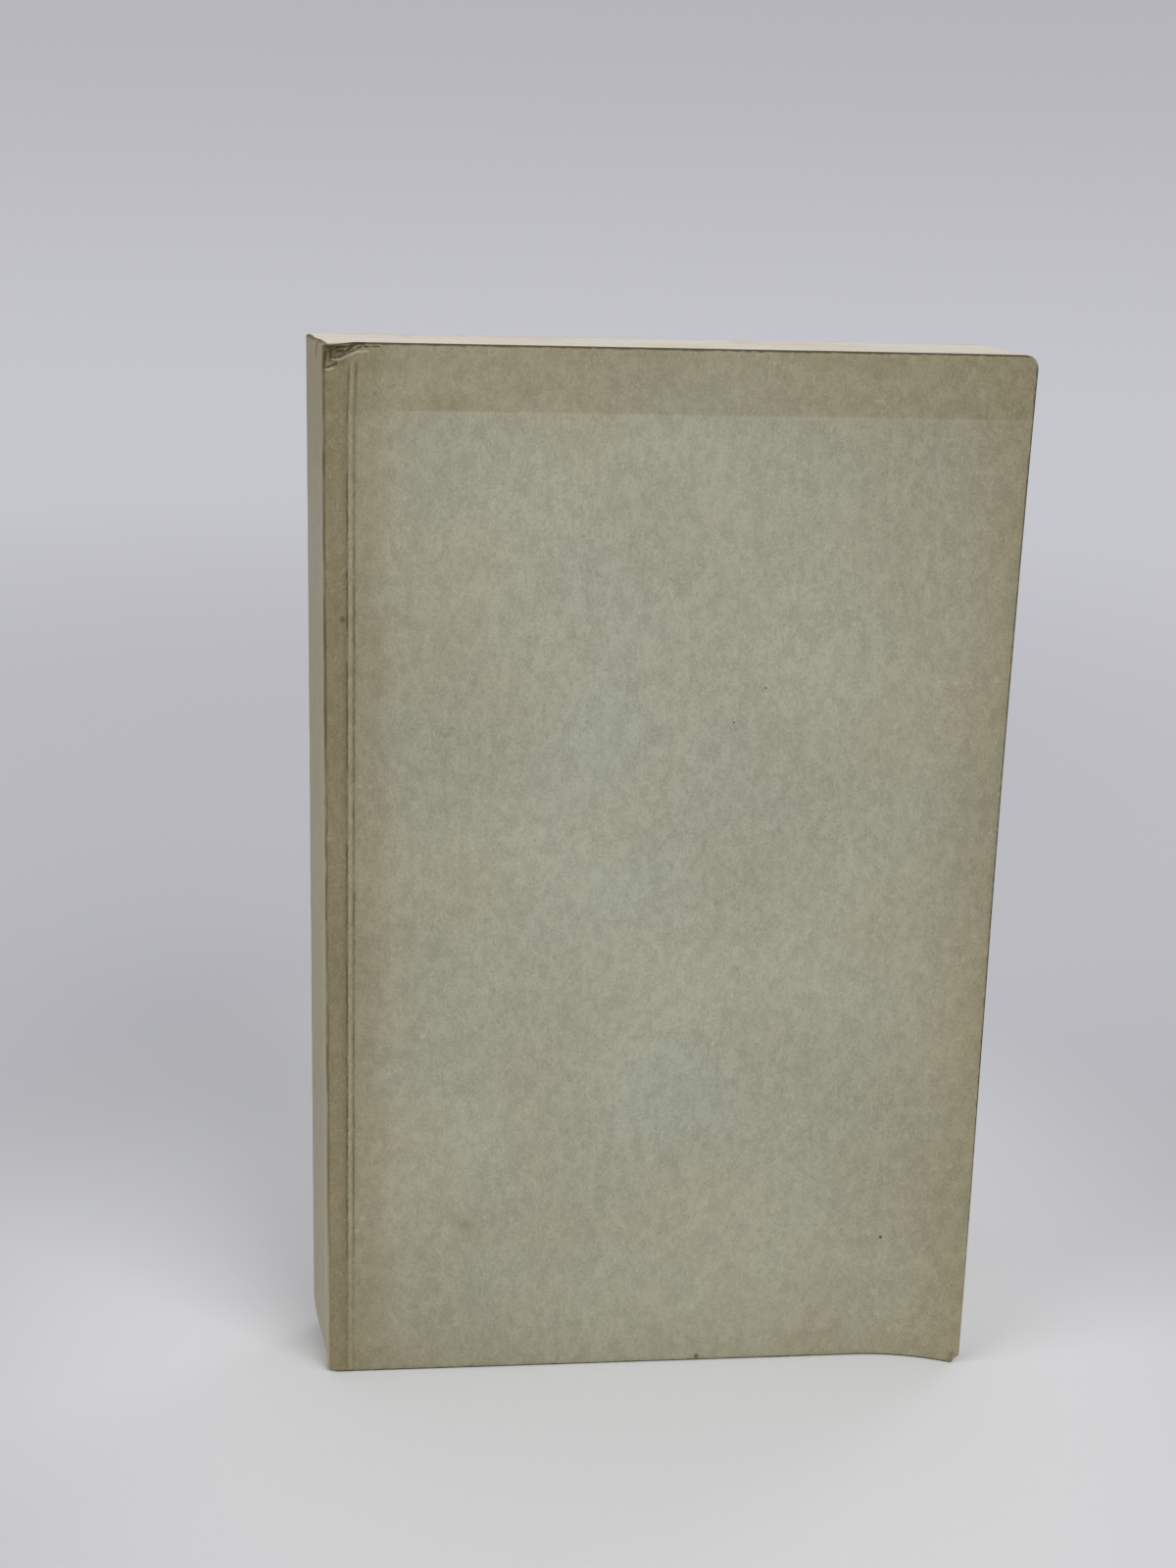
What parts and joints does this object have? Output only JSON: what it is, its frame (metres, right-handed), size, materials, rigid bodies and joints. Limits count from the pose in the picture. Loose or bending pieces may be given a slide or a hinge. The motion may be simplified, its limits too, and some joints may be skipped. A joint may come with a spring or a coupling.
{
  "type": "paperback book",
  "caption": "Old paperback in a plain grey-green felt-paper wrapper with turned-in edges, a leaning spine, scored hinge creases and a curled front cover.",
  "frame": {"origin": "middle of the pages' tail face, on the surface that the book stands on", "axes": "+Z from tail to head, +X from spine to fore-edge, -Y out of the front cover"},
  "size_m": [0.1233, 0.0263, 0.19],
  "materials": {
    "pages": "matt, cream, cut edges",
    "glue": "dried animal glue",
    "wrapper": "matt grey-green felt paper, toned brown at the edges"
  },
  "bodies": {
    "book": {"text_block": "pages", "spine_glue": "glue", "cover_spine": "wrapper"},
    "front": {"front_cover": "wrapper"},
    "back": {"back_cover": "wrapper"}
  },
  "joints": [
    {"name": "front_cover_open", "type": "hinge", "parent": "book", "child": "front", "pos_m": [-0.05485, -0.0101, 0], "axis": [0, 0, -1], "range_deg": [0, 175]},
    {"name": "back_cover_open", "type": "hinge", "parent": "book", "child": "back", "pos_m": [-0.05775, 0.00898, 0], "axis": [0, 0, 1], "range_deg": [0, 175]}
  ]
}
